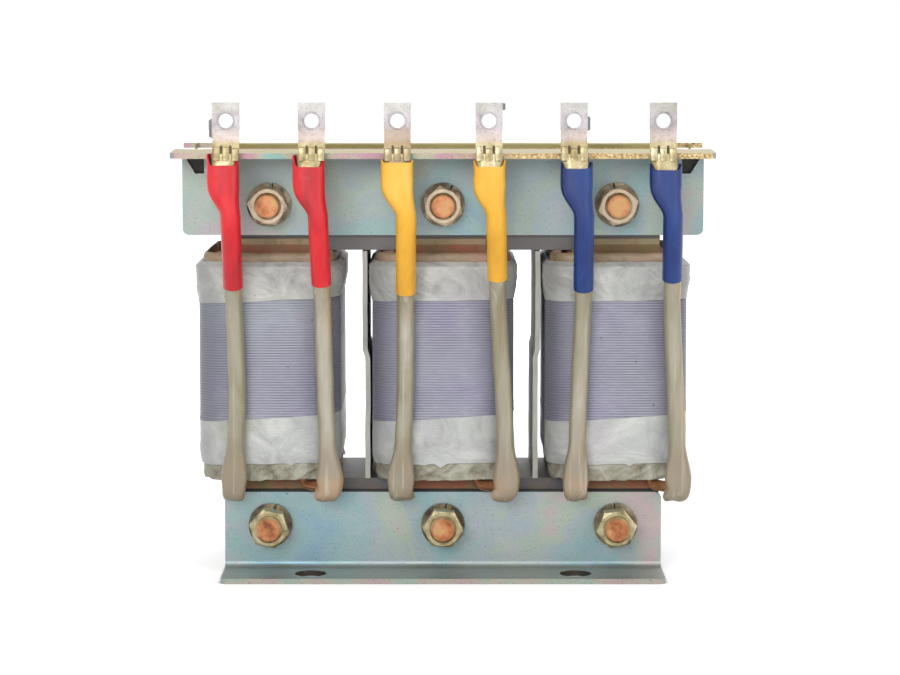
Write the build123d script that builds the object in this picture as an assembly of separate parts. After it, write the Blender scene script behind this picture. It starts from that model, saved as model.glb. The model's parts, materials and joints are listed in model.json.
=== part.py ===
from build123d import *
from math import radians, tan
import os

# Detuned reactor: three coils on a gapped three-leg core, clamped between bent brackets.
# Millimetres. +Z is up, -Y is the front with the leads, +X is to the right of it.
# The origin is the centre of the four foot holes, on the plane that the feet stand on.

# Laminated core
leg_pitch = 79.0
leg_width = 40.0
stack_depth = 60.0
yoke_height = 42.0
window_height = 105.0
core_lift = 1.0
gap_spacer = 1.5
leg_blocks = 2

# Brackets, bent from sheet
sheet = 2.5
bend_radius = 2.5
strip_thickness = 0.8
flange_corner = 3.0
web_corner = 3.0
lower_length = 200.0
lower_web_height = 37.0
upper_length = 237.0
upper_overhang = 3.0
back_overhang = 6.0
upper_rise = 3.5
upper_droop = 1.0
upper_strip_inset = 2.0
upper_web_height = 38.5
foot_pitch = 120.0
foot_depth_pitch = 100.0
foot_hole = 14.0
foot_edge = 12.3
lift_slot_edge = 1.0
lift_slot_top = 9.0
lift_slot_bottom = 4.0
lift_slot_drop = 10.5
lift_slot_reach = 3.5

# Through bolts, M12
bolt_diameter = 12.0
bolt_hole = 13.0
bolt_end = 2.5
bolt_chamfer = 1.0
head_height = 7.5
nut_height = 10.8
hex_flats = 16.0
hex_chamfer = 0.8
washer_outer = 20.0
washer_height = 2.5
washer_split = 1.4
tube_wall = 0.8
running_fit = 0.2
hex_turns = (12.0, 4.0, -8.0, 6.0, 22.0, -14.0)

# Coils, from the leg outwards
leg_fit = 0.5
former_wall = 2.0
former_corner = 3.0
winding_build = 6.0
layer_paper = 2.0
band_tape = 2.0
end_bulge = 1.5
crown = 1.5
winding_corner = 8.0
winding_margin = 5.0
former_tongue = 5.3
tongue_drop = 4.5
end_fit = 0.5
top_tape_margin = 4.5
top_tape_height = 17.5
bottom_tape_margin = 8.5
bottom_tape_height = 21.0
band_slant = 3.5
skirt_thickness = 1.2
skirt_fit = 0.5
skirt_notch = 14.0
skirt_notch_drop = 3.5
barrier_thickness = 2.5
barrier_margin = 1.0
barrier_fit = 0.3

# Leads, each a conductor in a sleeve that ends in a lug under heat-shrink
conductor_diameter = 5.0
sleeve_outer = 7.8
sleeve_wall = 0.6
sleeve_fold_width = 12.4
sleeve_fold_depth = 7.2
entry_inset = 4.0
foot_drop = 2.0
entry_bend = 5.0
fold_bend = 6.5
flare_length = 11.0
knee_rise = 39.0
shoulder_drop = 24.0
neck_drop = 29.5
neck_run = 5.0
lead_bend = 25.0
neck_bend = 12.5
bend_share = 0.45
lead_clearance = 0.5
sleeve_margin = 2.0
shrink_wall = 0.55
shrink_fit = 0.05
shrink_width = 14.3
shrink_depth = 9.2
shrink_neck_drop = 23.5
shrink_shoulder_drop = 15.5
shrink_top_drop = 5.5
flange_gap = 0.3
barrel_fit = 0.4
barrel_length = 9.5
bore_fit = 0.1
palm_width = 11.8
palm_thickness = 2.5
palm_neck = 8.5
palm_length = 20.0
palm_hole = 6.5
palm_hole_drop = 8.0
conductor_straight = 2.0
conductor_seat = 7.0

# How far outside the leg's face each lead lies: at its lug, the lug's barrel, its neck,
# shoulder, knee and foot. The last value is how far above the shoulder its heat-shrink starts.
LEAD_ROUTES = {
    "left_start": (-3.2, -1.9, -5.0, -5.0, -6.4, -4.2, 9.5),
    "left_finish": (1.0, -0.3, 3.7, 4.9, 5.9, 8.0, 11.0),
    "middle_start": (0.1, 0.3, -3.7, -3.2, -3.1, -0.6, 7.0),
    "middle_finish": (0.3, 0.5, 3.6, 4.8, 7.4, 9.3, 13.5),
    "right_start": (1.2, 0.0, -3.4, -4.1, -2.4, -0.6, 8.5),
    "right_finish": (-1.8, -0.6, 2.8, 3.9, 6.0, 7.8, 13.0),
}
COIL_CENTRES = {"left": -leg_pitch, "middle": 0.0, "right": leg_pitch}

# Heights and depths that follow from the sizes above
lower_yoke_top = core_lift + yoke_height
upper_yoke_bottom = lower_yoke_top + window_height
upper_yoke_top = upper_yoke_bottom + yoke_height
upper_flange_top = upper_yoke_top + upper_rise
upper_bend_top = upper_flange_top + upper_droop
core_length = 2 * leg_pitch + leg_width
half_stack = stack_depth / 2
web_back = half_stack + strip_thickness
web_front = web_back + sheet
flange_front = foot_depth_pitch / 2 + foot_edge
bolt_heights = (core_lift + yoke_height / 2, upper_yoke_bottom + yoke_height / 2)
bolt_front = web_front + washer_height + nut_height + bolt_end
tube_outer = bolt_diameter + 2 * running_fit + 2 * tube_wall
former_build = leg_fit + former_wall
winding_outer = former_build + winding_build
paper_outer = winding_outer + layer_paper
band_outer = paper_outer + band_tape
end_outer = band_outer + end_bulge
coil_front = half_stack + band_outer + crown
winding_bottom = lower_yoke_top + winding_margin
winding_top = upper_yoke_bottom - winding_margin
top_tape_top = upper_yoke_bottom - top_tape_margin
band_top = top_tape_top - top_tape_height
bottom_tape_bottom = lower_yoke_top + bottom_tape_margin
band_bottom = bottom_tape_bottom + bottom_tape_height
skirt_bottom = lower_yoke_top + skirt_fit
foot_height = lower_yoke_top - foot_drop
knee_height = lower_yoke_top + knee_rise
shoulder_height = upper_yoke_bottom - shoulder_drop
neck_height = upper_flange_top - neck_drop
shrink_neck = upper_flange_top - shrink_neck_drop
shrink_shoulder = upper_flange_top - shrink_shoulder_drop
shrink_top = upper_flange_top - shrink_top_drop
sleeve_top = shrink_neck - sleeve_margin
barrel_top = shrink_shoulder + barrel_length
conductor_top = shrink_shoulder + conductor_seat
palm_bottom = barrel_top + palm_neck
palm_top = palm_bottom + palm_length
barrel_width = shrink_width - 2 * shrink_wall - 2 * barrel_fit
barrel_depth = shrink_depth - 2 * shrink_wall - 2 * barrel_fit
sleeve_radius = sleeve_outer / 2
band_slant_rise = (leg_width / 2 + band_outer) * tan(radians(band_slant)) + band_tape
run_depth = coil_front + lead_clearance + sleeve_radius
shoulder_depth = run_depth + end_bulge
lug_depth = flange_front + flange_gap + shrink_depth / 2
entry_depth = half_stack + former_build + winding_build / 2


def place(shape, x=0.0, y=0.0, z=0.0):
    return Pos(x, y, z) * shape


def cylinder_along_y(diameter, front, back):
    """A round bar along Y, from y = front to y = back."""
    bar = Rotation(90, 0, 0) * Cylinder(diameter / 2, back - front)
    return place(bar, y=(front + back) / 2)


def bolt_places():
    """The six bolt axes as x and z, lower row first."""
    return [(x, z) for z in bolt_heights for x in COIL_CENTRES.values()]


def at_bolts(shape):
    """One copy on each bolt axis, each turned as it was left after tightening."""
    return [
        place(Rotation(0, turn, 0) * shape, x, 0, z)
        for turn, (x, z) in zip(hex_turns, bolt_places())
    ]


# Core

def yoke(bottom):
    block = place(Box(core_length, stack_depth, yoke_height), z=bottom + yoke_height / 2)
    bore = cylinder_along_y(tube_outer + 2 * running_fit, -half_stack, half_stack)
    row = bolt_heights[0] if bottom < bolt_heights[0] else bolt_heights[1]
    for x in COIL_CENTRES.values():
        block -= place(bore, x, 0, row)
    return block


def leg_block_height():
    return (window_height - (leg_blocks + 1) * gap_spacer) / leg_blocks


def core_leg(x):
    """The blocks of one leg, stacked with a gap below, between and above them."""
    height = leg_block_height()
    block = Box(leg_width, stack_depth, height)
    step = height + gap_spacer
    first = lower_yoke_top + gap_spacer + height / 2
    return [place(block, x, 0, first + i * step) for i in range(leg_blocks)]


def gap_spacers():
    step = leg_block_height() + gap_spacer
    first = lower_yoke_top + gap_spacer / 2
    spacer = Box(leg_width, stack_depth, gap_spacer)
    return [
        place(spacer, x, 0, first + i * step)
        for x in COIL_CENTRES.values()
        for i in range(leg_blocks + 1)
    ]


# Brackets

def angle_section(flange_face, web_edge, droop):
    """The bent section, drawn as outward distance and height. The flange ends nearer the web's edge."""
    up = 1 if web_edge > flange_face else -1
    inner_face = flange_face + up * sheet
    outline = Polyline(
        (web_back, flange_face),
        (flange_front, flange_face + up * droop),
        (flange_front, inner_face + up * droop),
        (web_front, inner_face),
        (web_front, web_edge),
        (web_back, web_edge),
        close=True,
    )
    section = make_face(outline)
    inside = section.vertices().sort_by_distance((web_front, inner_face))[0]
    section = fillet(inside, bend_radius)
    outside = section.vertices().sort_by_distance((web_back, flange_face))[0]
    return fillet(outside, bend_radius + sheet)


def angle_bracket(length, flange_face, web_edge, droop=0.0):
    """A front bracket: its web stands against the core and its flange points to -Y."""
    drawing = Plane(origin=(length / 2, 0, 0), x_dir=(0, -1, 0), z_dir=(-1, 0, 0))
    return extrude(drawing * angle_section(flange_face, web_edge, droop), amount=length)


def round_flange_corners(bracket):
    corners = bracket.edges().filter_by(Axis.Z).group_by(Axis.Y)[0]
    return fillet(corners, flange_corner)


def round_web_corners(bracket, web_edge):
    across = bracket.edges().filter_by(Axis.Y)
    corners = [edge for edge in across if abs(edge.center().Z - web_edge) < sheet / 10]
    return fillet(corners, web_corner)


def bolt_holes(z):
    hole = cylinder_along_y(bolt_hole, -web_front, -web_back)
    return [place(hole, x, 0, z) for x in COIL_CENTRES.values()]


def lower_bracket():
    bracket = angle_bracket(lower_length, 0.0, lower_web_height)
    bracket = round_web_corners(bracket, lower_web_height)
    bracket = round_flange_corners(bracket)
    foot = Cylinder(foot_hole / 2, sheet)
    for x in (-foot_pitch / 2, foot_pitch / 2):
        bracket -= place(foot, x, -foot_depth_pitch / 2, sheet / 2)
    for hole in bolt_holes(bolt_heights[0]):
        bracket -= hole
    return bracket


def lift_slot():
    """The slot across the bend near the right end, narrower at its lower end."""
    outer = upper_length / 2 - lift_slot_edge
    inner = outer - lift_slot_top
    top = upper_bend_top + sheet
    bottom = upper_flange_top - lift_slot_drop
    bend_line = upper_flange_top - sheet
    outline = Polyline(
        (inner, bottom),
        (inner + lift_slot_bottom, bottom),
        (outer, bend_line),
        (outer, top),
        (inner, top),
        close=True,
    )
    reach = web_front + lift_slot_reach
    drawing = Plane(origin=(0, -reach, 0), x_dir=(1, 0, 0), z_dir=(0, -1, 0))
    return extrude(drawing * make_face(outline), amount=-(reach - web_back + sheet))


def upper_bracket(overhang):
    """The upper front bracket, whose flange overhangs the web's ends and droops a little."""
    section = (upper_bend_top, upper_flange_top - upper_web_height, upper_droop)
    bracket = angle_bracket(upper_length, *section)
    bracket = round_web_corners(bracket, section[1])
    flat_depth = flange_front - web_front - bend_radius
    long_bracket = angle_bracket(upper_length + 2 * overhang, *section)
    flat = Box(upper_length + 2 * overhang, flat_depth, upper_web_height)
    bracket += long_bracket & place(flat, y=-(flange_front - flat_depth / 2), z=upper_flange_top)
    bracket = round_flange_corners(bracket)
    slot = lift_slot()
    bracket -= slot
    bracket -= mirror(slot, about=Plane.YZ)
    for hole in bolt_holes(bolt_heights[1]):
        bracket -= hole
    return bracket


def insulation_strips(bottom, top, length, bolt_height):
    """The thin board between each bracket and the core, front and back."""
    strip = place(Box(length, strip_thickness, top - bottom), z=(bottom + top) / 2)
    hole = cylinder_along_y(bolt_hole, -strip_thickness, strip_thickness)
    for x in COIL_CENTRES.values():
        strip -= place(hole, x, 0, bolt_height)
    offset = half_stack + strip_thickness / 2
    return [place(strip, y=-offset), place(strip, y=offset)]


# Bolts

def hexagon_bar(height):
    """A hexagon with its corners turned down at both ends, standing on z = 0."""
    corner_radius = hex_flats / 3 ** 0.5
    bar = extrude(RegularPolygon(hex_flats / 2, 6, major_radius=False), amount=height)
    turned = extrude(Circle(corner_radius), amount=height)
    turned = chamfer(turned.edges(), hex_chamfer, 2 * hex_chamfer)
    return bar & turned


def facing_front(shape, y):
    """Turn a shape drawn along +Z to point at -Y, starting at y."""
    return place(Rotation(90, 0, 0) * shape, y=y)


def through_bolt():
    shank = extrude(Circle(bolt_diameter / 2), amount=bolt_front + web_front)
    shank = chamfer(shank.edges().group_by(Axis.Z)[-1], bolt_chamfer)
    head = place(hexagon_bar(head_height), z=-head_height)
    return facing_front(head + shank, web_front)


def hex_nut():
    nut = hexagon_bar(nut_height)
    nut -= extrude(Circle(bolt_diameter / 2 + running_fit / 2), amount=nut_height)
    return facing_front(nut, -web_front - washer_height)


def spring_washer():
    ring = Circle(washer_outer / 2) - Circle(bolt_diameter / 2 + running_fit)
    washer = extrude(ring, amount=washer_height)
    cut = Rotation(0, 15, 0) * Box(washer_split, washer_outer, 3 * washer_height)
    washer -= place(cut, y=washer_outer / 2, z=washer_height / 2)
    return facing_front(washer, -web_front)


def insulation_tube():
    tube = cylinder_along_y(tube_outer, -half_stack, half_stack)
    return tube - cylinder_along_y(bolt_diameter + 2 * running_fit, -half_stack, half_stack)


# Coils

def coil_outline(build, corner, bow):
    """A rounded rectangle round the leg, with its long front and back bowed outwards."""
    half_width = leg_width / 2 + build
    half_depth = half_stack + build
    if bow == 0:
        return RectangleRounded(2 * half_width, 2 * half_depth, corner)
    right = Line((half_width, -half_depth), (half_width, half_depth))
    back = ThreePointArc((half_width, half_depth), (0, half_depth + bow), (-half_width, half_depth))
    left = Line((-half_width, half_depth), (-half_width, -half_depth))
    front = ThreePointArc(
        (-half_width, -half_depth), (0, -half_depth - bow), (half_width, -half_depth)
    )
    outline = make_face([right, back, left, front])
    return fillet(outline.vertices(), corner)


def former_outline():
    return coil_outline(former_build, former_corner, 0)


def layer_outline(build):
    """An outline in the winding, whose corners grow with each layer."""
    return coil_outline(build, winding_corner + build - winding_outer, crown)


def ring(outer, inner, bottom, top):
    return place(extrude(outer - inner, amount=top - bottom), z=bottom)


def coil_former():
    """A pressboard tube with a tongue up and down the front and back of each yoke."""
    top = upper_yoke_bottom - end_fit
    bore = coil_outline(leg_fit, former_corner - former_wall, 0)
    tube = ring(former_outline(), bore, lower_yoke_top, top)
    tongue_width = leg_width + 2 * former_build - 2 * former_corner
    tongue_top = upper_yoke_bottom + former_tongue
    tongue_bottom = lower_yoke_top - tongue_drop
    tongue = Box(tongue_width, former_wall, tongue_top - tongue_bottom)
    offset = half_stack + former_build - former_wall / 2
    for y in (-offset, offset):
        tube += place(tongue, y=y, z=(tongue_top + tongue_bottom) / 2)
    return tube


def coil_winding():
    return ring(layer_outline(winding_outer), former_outline(), winding_bottom, winding_top)


def layer_insulation():
    """The paper over the winding, which shows above and below the tapes."""
    bottom = skirt_bottom + skirt_thickness
    top = upper_yoke_bottom - end_fit
    paper = ring(layer_outline(paper_outer), layer_outline(winding_outer), bottom, top)
    rim = paper.faces().sort_by(Axis.Z)[-1].outer_wire().edges()
    return chamfer(rim, layer_paper * 0.6)


def slant_plane():
    """The lower edge of the middle band, which climbs to the right."""
    return Plane(origin=(0, 0, band_bottom), z_dir=Vector(0, 0, 1).rotate(Axis.Y, -band_slant))


def middle_band():
    inside = layer_outline(paper_outer)
    band = ring(layer_outline(band_outer), inside, band_bottom - band_slant_rise, band_top)
    return split(band, bisect_by=slant_plane(), keep=Keep.TOP)


def end_tapes():
    """The taped ends of the coil, bulging at the top, below and above the middle band."""
    inside = layer_outline(paper_outer)
    top = ring(layer_outline(end_outer), inside, band_top, top_tape_top)
    shoulder = top.faces().sort_by(Axis.Z)[-1].outer_wire().edges()
    top = fillet(shoulder, band_tape)
    bottom_top = band_bottom + band_slant_rise
    bottom = ring(layer_outline(band_outer), inside, bottom_tape_bottom, bottom_top)
    bottom = split(bottom, bisect_by=slant_plane(), keep=Keep.BOTTOM)
    return [top, bottom]


def entry_place(side):
    """Where a lead leaves the winding, across the coil: a little inside the leg's face."""
    return side * (leg_width / 2 - entry_inset)


def across_coil(side, outward):
    """A place across the coil that lies outward of the leg's face on one side."""
    return side * (leg_width / 2 + outward)


def paper_skirt(sides):
    """The paper below the tapes, notched where the leads come out at their sides and feet."""
    inside = layer_outline(paper_outer)
    outside = layer_outline(paper_outer + skirt_thickness)
    skirt = ring(outside, inside, skirt_bottom, bottom_tape_bottom)
    for side, foot in sides:
        notch = Cylinder(skirt_notch / 2, 2 * skirt_thickness + coil_front - half_stack)
        notch = Rotation(90, 0, 0) * notch
        middle = (entry_place(side) + across_coil(side, foot)) / 2
        skirt -= place(notch, middle, -coil_front, lower_yoke_top - skirt_notch_drop)
    return skirt


def barrier_sheet(x):
    """A board that stands in the window on the left of a coil."""
    height = window_height - end_fit
    left = x - leg_width / 2 - end_outer - barrier_fit - barrier_thickness
    sheet_body = Box(barrier_thickness, stack_depth + 2 * barrier_margin, height)
    return place(sheet_body, left + barrier_thickness / 2, 0, lower_yoke_top + height / 2)


# Leads

def lead_corners(x, side, route):
    """The corners of a lead's route, from the winding up to the lug."""
    barrel, neck, shoulder, knee, foot = [x + across_coil(side, outward) for outward in route[1:6]]
    entry = x + entry_place(side)
    return [
        Vector(entry, -entry_depth, winding_bottom),
        Vector(entry, -entry_depth, foot_height),
        Vector(foot, -run_depth, foot_height),
        Vector(knee, -run_depth, knee_height),
        Vector(shoulder, -shoulder_depth, shoulder_height),
        Vector(neck, -lug_depth, neck_height),
        Vector(neck, -lug_depth, neck_height + neck_run),
        Vector(barrel, -lug_depth, shrink_shoulder - conductor_straight),
        Vector(barrel, -lug_depth, conductor_top),
    ]


def lead_bends(corners):
    """The radius at each inner corner: as wide as asked for where its two runs allow it."""
    bends = [entry_bend, fold_bend, lead_bend, lead_bend, neck_bend, entry_bend, entry_bend]
    radii = []
    for before, corner, after, bend in zip(corners, corners[1:], corners[2:], bends):
        turn = (corner - before).get_angle(after - corner)
        shorter = min((corner - before).length, (after - corner).length)
        radii.append(min(bend, bend_share * shorter / tan(radians(turn / 2))))
    return radii


def along(start, end, distance):
    return start + (end - start).normalized() * distance


def at_height(start, end, z):
    return start + (end - start) * ((z - start.Z) / (end.Z - start.Z))


def swept_rod(path, radius):
    section = Plane(origin=path @ 0, z_dir=path % 0) * Circle(radius)
    return sweep(section, path=path)


def lead_conductor(x, side, route):
    corners = lead_corners(x, side, route)
    path = FilletPolyline(*corners, radius=lead_bends(corners))
    return swept_rod(path, conductor_diameter / 2)


def sleeve_body(x, side, route, inset):
    """The sleeve's outer form, or its bore where inset is the wall."""
    corners = lead_corners(x, side, route)
    entry, foot, knee, shoulder, neck, neck_top = corners[1:7]
    up = (knee - foot).normalized()
    back = (entry - foot).normalized()
    fold_start = along(foot, knee, fold_bend)
    flare_end = along(foot, knee, fold_bend + flare_length)
    tube_end = at_height(neck, neck_top, sleeve_top)
    radius = sleeve_radius - inset
    bends = lead_bends(corners)
    path = FilletPolyline(flare_end, knee, shoulder, neck, tube_end, radius=bends[2:5])
    tube = swept_rod(path, radius)
    across = up.cross(back)
    folded = Ellipse(sleeve_fold_width / 2 - inset, sleeve_fold_depth / 2 - inset)
    lower = Plane(origin=fold_start, x_dir=across, z_dir=up) * folded
    upper = Plane(origin=flare_end, x_dir=across, z_dir=up) * Circle(radius)
    flare = loft([lower.face(), upper.face()])
    fold_path = TangentArc(fold_start, along(foot, entry, fold_bend), tangent=-up)
    start = Plane(origin=fold_start, x_dir=across, z_dir=-up) * folded
    return tube + flare + sweep(start, path=fold_path)


def lead_sleeve(x, side, route):
    return sleeve_body(x, side, route, 0.0) - sleeve_body(x, side, route, sleeve_wall)


def shrink_body(x, side, route, inset):
    """The heat-shrink's outer form, or its bore where inset is the wall."""
    corners = lead_corners(x, side, route)
    shoulder, neck, neck_top = corners[4:7]
    barrel_x = corners[7].X
    radius = sleeve_radius + shrink_fit + shrink_wall - inset
    start = at_height(shoulder, neck, shoulder_height + route[6])
    end = neck + Vector(0, 0, shrink_neck - neck_height)
    path = FilletPolyline(start, neck, end, radius=lead_bends(corners)[4:5])
    tube = swept_rod(path, radius)
    wide = SlotOverall(shrink_width - 2 * inset, shrink_depth - 2 * inset)
    low = Plane(origin=(neck.X, -lug_depth, shrink_neck)) * Circle(radius)
    high = Plane(origin=(barrel_x, -lug_depth, shrink_shoulder)) * wide
    neck_form = loft([low.face(), high.face()])
    return tube + neck_form + extrude(high, amount=shrink_top - shrink_shoulder)


def heat_shrink(x, side, route):
    return shrink_body(x, side, route, 0.0) - shrink_body(x, side, route, shrink_wall)


def terminal_lug(x, side, route):
    """A tinned lug: a flattened barrel that runs up into a flat palm with one hole."""
    lug, barrel = [x + across_coil(side, outward) for outward in route[:2]]
    barrel_slot = SlotOverall(barrel_width, barrel_depth)
    foot = Plane(origin=(barrel, -lug_depth, shrink_shoulder)) * barrel_slot
    top = Plane(origin=(barrel, -lug_depth, barrel_top)) * barrel_slot
    palm = Plane(origin=(lug, -lug_depth, palm_bottom)) * Rectangle(palm_width, palm_thickness)
    body = extrude(foot, amount=barrel_top - shrink_shoulder)
    body += loft([top.face(), palm.face()])
    body += extrude(palm, amount=palm_top - palm_bottom)
    bore = extrude(Circle(conductor_diameter / 2 + bore_fit), amount=conductor_top - shrink_shoulder)
    body -= place(bore, barrel, -lug_depth, shrink_shoulder)
    hole = cylinder_along_y(palm_hole, -lug_depth - palm_thickness, -lug_depth + palm_thickness)
    return body - place(hole, lug, 0, palm_top - palm_hole_drop)


def solids_of(shape):
    if isinstance(shape, (list, tuple)):
        return [solid for item in shape for solid in solids_of(item)]
    return list(shape.solids())


def write_node(name, shape):
    solids = solids_of(shape)
    body = solids[0] if len(solids) == 1 else Compound(children=solids)
    body.label = name
    export_step(body, os.path.join("parts", name + ".step"))


def core_nodes():
    nodes = {
        "lower_yoke": yoke(core_lift),
        "upper_yoke": yoke(upper_yoke_bottom),
        "gap_spacers": gap_spacers(),
    }
    for name, x in COIL_CENTRES.items():
        nodes["core_leg_" + name] = core_leg(x)
    return nodes


def frame_nodes():
    lower = lower_bracket()
    upper = upper_bracket(upper_overhang)
    back_upper = mirror(upper_bracket(back_overhang), about=Plane.XZ)
    upper_edge = upper_flange_top - upper_web_height
    lower_strip = (core_lift, lower_web_height + strip_thickness, core_length, bolt_heights[0])
    upper_strip_length = upper_length - 2 * upper_strip_inset
    upper_strip = (upper_edge, upper_yoke_top, upper_strip_length, bolt_heights[1])
    return {
        "front_lower_bracket": lower,
        "back_lower_bracket": mirror(lower, about=Plane.XZ),
        "front_upper_bracket": upper,
        "back_upper_bracket": back_upper,
        "lower_insulation_strips": insulation_strips(*lower_strip),
        "upper_insulation_strips": insulation_strips(*upper_strip),
        "through_bolts": at_bolts(through_bolt()),
        "hex_nuts": at_bolts(hex_nut()),
        "spring_washers": at_bolts(spring_washer()),
        "bolt_insulation_tubes": at_bolts(insulation_tube()),
    }


def lead_side(name):
    """The start lead of a coil is on its left, the finish lead on its right."""
    return -1 if name.endswith("start") else 1


def coil_nodes(name, x):
    feet = [(lead_side(key), route[5]) for key, route in LEAD_ROUTES.items() if key.startswith(name)]
    return {
        "coil_former_" + name: place(coil_former(), x),
        "coil_winding_" + name: place(coil_winding(), x),
        "layer_insulation_" + name: place(layer_insulation(), x),
        "middle_band_" + name: place(middle_band(), x),
        "end_tapes_" + name: [place(tape, x) for tape in end_tapes()],
        "paper_skirt_" + name: place(paper_skirt(feet), x),
    }


def lead_nodes(name, route):
    place_and_side = COIL_CENTRES[name.split("_")[0]], lead_side(name)
    return {
        "lead_conductor_" + name: lead_conductor(*place_and_side, route),
        "lead_sleeve_" + name: lead_sleeve(*place_and_side, route),
        "heat_shrink_" + name: heat_shrink(*place_and_side, route),
        "terminal_lug_" + name: terminal_lug(*place_and_side, route),
    }


def build_nodes():
    nodes = {**core_nodes(), **frame_nodes()}
    for name, x in COIL_CENTRES.items():
        nodes.update(coil_nodes(name, x))
    nodes["barrier_sheets"] = [barrier_sheet(COIL_CENTRES[name]) for name in ("middle", "right")]
    for name, route in LEAD_ROUTES.items():
        nodes.update(lead_nodes(name, route))
    return nodes


os.makedirs("parts", exist_ok=True)
for node_name, node_shape in build_nodes().items():
    write_node(node_name, node_shape)
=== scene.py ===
import json
import math

import bpy
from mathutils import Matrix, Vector, noise


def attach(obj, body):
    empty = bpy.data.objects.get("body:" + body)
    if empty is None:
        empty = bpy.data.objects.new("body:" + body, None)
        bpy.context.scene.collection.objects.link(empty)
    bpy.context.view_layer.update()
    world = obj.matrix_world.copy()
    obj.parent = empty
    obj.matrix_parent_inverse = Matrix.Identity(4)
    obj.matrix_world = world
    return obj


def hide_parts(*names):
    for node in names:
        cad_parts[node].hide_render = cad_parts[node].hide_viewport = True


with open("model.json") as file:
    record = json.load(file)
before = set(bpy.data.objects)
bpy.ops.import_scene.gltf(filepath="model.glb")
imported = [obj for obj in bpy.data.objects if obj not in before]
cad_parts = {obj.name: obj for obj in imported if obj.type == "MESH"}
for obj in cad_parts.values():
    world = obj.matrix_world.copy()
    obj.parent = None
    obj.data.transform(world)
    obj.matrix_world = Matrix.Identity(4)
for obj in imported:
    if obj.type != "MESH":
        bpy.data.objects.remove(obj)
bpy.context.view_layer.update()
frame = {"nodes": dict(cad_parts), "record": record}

MM = 0.001


# Sizes and places of the model, in millimetres

COIL_PITCH = 79.0
COIL_CENTRES = {"left": -COIL_PITCH, "middle": 0.0, "right": COIL_PITCH}
HALF_LEG = 20.0
HALF_STACK = 30.0
BOLT_HEIGHTS = (22.0, 169.0)
FOOT_HOLE_PLACE = (60.0, 50.0)
FOOT_HOLE_RADIUS = 7.0

# The wraps of a coil: how far each lies outside the leg and the stack, and their heights.
# The crown is how far their front and back bow out.
CROWN = 1.5
BAND_BUILD = 12.5
PAPER_BUILD = 10.5
WINDING_BUILD = 8.5
END_BULGE = 1.5
RIB_PITCH = 1.2
BAND_SLANT = math.tan(math.radians(3.5))
BAND_BOTTOM = 72.5
BAND_TOP = 126.0
TAPE_TOP = 143.5
TAPE_BOTTOM = 51.5
SKIRT_BOTTOM = 43.6
LAYER_TOP = 147.5
# The lower left corner of each coil's front is drawn in below this height
TUCK_TOP = 57.0
TUCK_RISE = 11.0
TUCK_DEPTH = 2.4

# How far each coil's top tape climbs to the right, and its torn tips: place, width and drop of each
TAPE_CLIMB = {"left": 1.6, "middle": 0.5, "right": 0.4}
TAPE_TIPS = {
    "left": ((10.0, 1.2, 1.1),),
    "middle": ((-8.4, 2.2, 0.7), (-1.0, 1.9, 1.9)),
    "right": ((5.7, 1.2, 1.3),),
}
COIL_SEEDS = {"left": 3.7, "middle": 17.1, "right": 29.3}

# The boards in the windows
BOARD_HEIGHTS = (43.0, 147.5)
BOARD_HALF_DEPTH = 31.0
BOARD_FIT = 0.3
BOARD_THICKNESS = 2.5

# How far outside the leg's face each lead lies at the steps of its route, from its lug down to its foot.
# The last value is how far above the shoulder its heat-shrink starts.
LUG, BARREL, NECK, SHOULDER, KNEE, FOOT, TUBE_START = range(7)
LEAD_ROUTES = {
    "left_start": (-3.2, -1.9, -5.0, -5.0, -6.4, -4.2, 9.5),
    "left_finish": (1.0, -0.3, 3.7, 4.9, 5.9, 8.0, 11.0),
    "middle_start": (0.1, 0.3, -3.7, -3.2, -3.1, -0.6, 7.0),
    "middle_finish": (0.3, 0.5, 3.6, 4.8, 7.4, 9.3, 13.5),
    "right_start": (1.2, 0.0, -3.4, -4.1, -2.4, -0.6, 8.5),
    "right_finish": (-1.8, -0.6, 2.8, 3.9, 6.0, 7.8, 13.0),
}
# The upper edge of each heat-shrink: its height at the two sides and at the middle of the front
SHRINK_TOPS = {
    "left_start": (193.4, 188.4),
    "left_finish": (192.8, 187.8),
    "middle_start": (190.8, 189.6),
    "middle_finish": (190.6, 187.8),
    "right_start": (189.8, 187.0),
    "right_finish": (189.0, 186.4),
}
ENTRY_INSET = 4.0
ENTRY_DEPTH = 35.5
ENTRY_LENGTH = 5.0
RUN_DEPTH = 48.4
SHOULDER_DEPTH = 49.9
LUG_DEPTH = 67.2
FOOT_HEIGHT = 38.0
FOOT_CUT = 33.6
KNEE_HEIGHT = 82.0
SHOULDER_HEIGHT = 124.0
NECK_HEIGHT = 164.0
SLEEVE_TOP = 168.0
SHRINK_NECK = 168.0
SHRINK_SHOULDER = 179.5
PALM_WIDTH = 11.8
PALM_HALF = 1.25
PALM_HOLE_HEIGHT = 208.0
TONGUE_PITCH = 4.1
TONGUE_BOTTOM = 190.0
TONGUE_TOP = 196.8
TONGUE_SLOT_HEIGHT = 195.3
# The tabs left on the sides of some lugs: side, width, bottom, top and bevel
LUG_TABS = {
    "left_start": (-1.0, 1.5, 199.9, 209.4, 1.2),
    "middle_finish": (1.0, 1.3, 212.7, 215.9, 0.2),
    "right_start": (1.0, 1.2, 203.2, 210.4, 0.9),
}
SLEEVE_RADIUS = 3.9
SHRINK_RADIUS = 4.5
FOLD_HALF = (5.9, 3.3)
SHRINK_HALF = (7.15, 4.6)
SHRINK_WALL = 0.55
SHRINK_SLOTS = {"left": "red_shrink", "middle": "yellow_shrink", "right": "blue_shrink"}

# The bolts' ends, in front of their nuts: where the thread starts, and its length, crests and radii
THREAD_START = 46.3
THREAD_LENGTH = 1.75
THREAD_CRESTS = 2
THREAD_ROOT = 5.55
THREAD_RISE = 0.42


def lead_side(lead):
    """The start lead of a coil is on its left, the finish lead on its right."""
    return -1.0 if lead.endswith("start") else 1.0


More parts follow.
